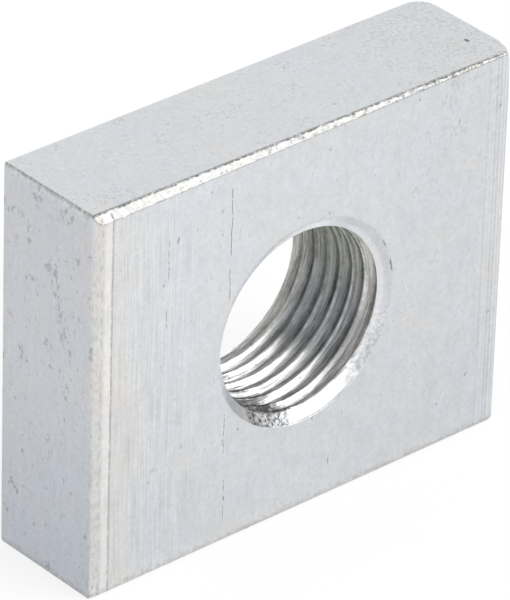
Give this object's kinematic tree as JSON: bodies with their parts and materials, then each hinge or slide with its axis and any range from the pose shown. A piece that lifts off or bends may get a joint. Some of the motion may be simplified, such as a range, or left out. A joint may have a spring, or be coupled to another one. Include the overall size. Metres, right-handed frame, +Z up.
{
  "type": "t slot nut",
  "caption": "Plain rectangular plate nut of zinc-plated steel flat bar, with one countersunk pipe-threaded hole through its thickness.",
  "frame": {"origin": "on the thread's axis, halfway through the plate's thickness", "axes": "+X along the plate's width, +Y through its thickness from the front face to the back face, +Z up along the drawn bar; the bolt leaves along -Y"},
  "size_m": [0.04, 0.0104, 0.0318],
  "materials": {
    "zinc_plated_steel": "satin clear zinc plate over drawn steel"
  },
  "bodies": {
    "root": {"slot_nut": "zinc_plated_steel"}
  },
  "joints": []
}
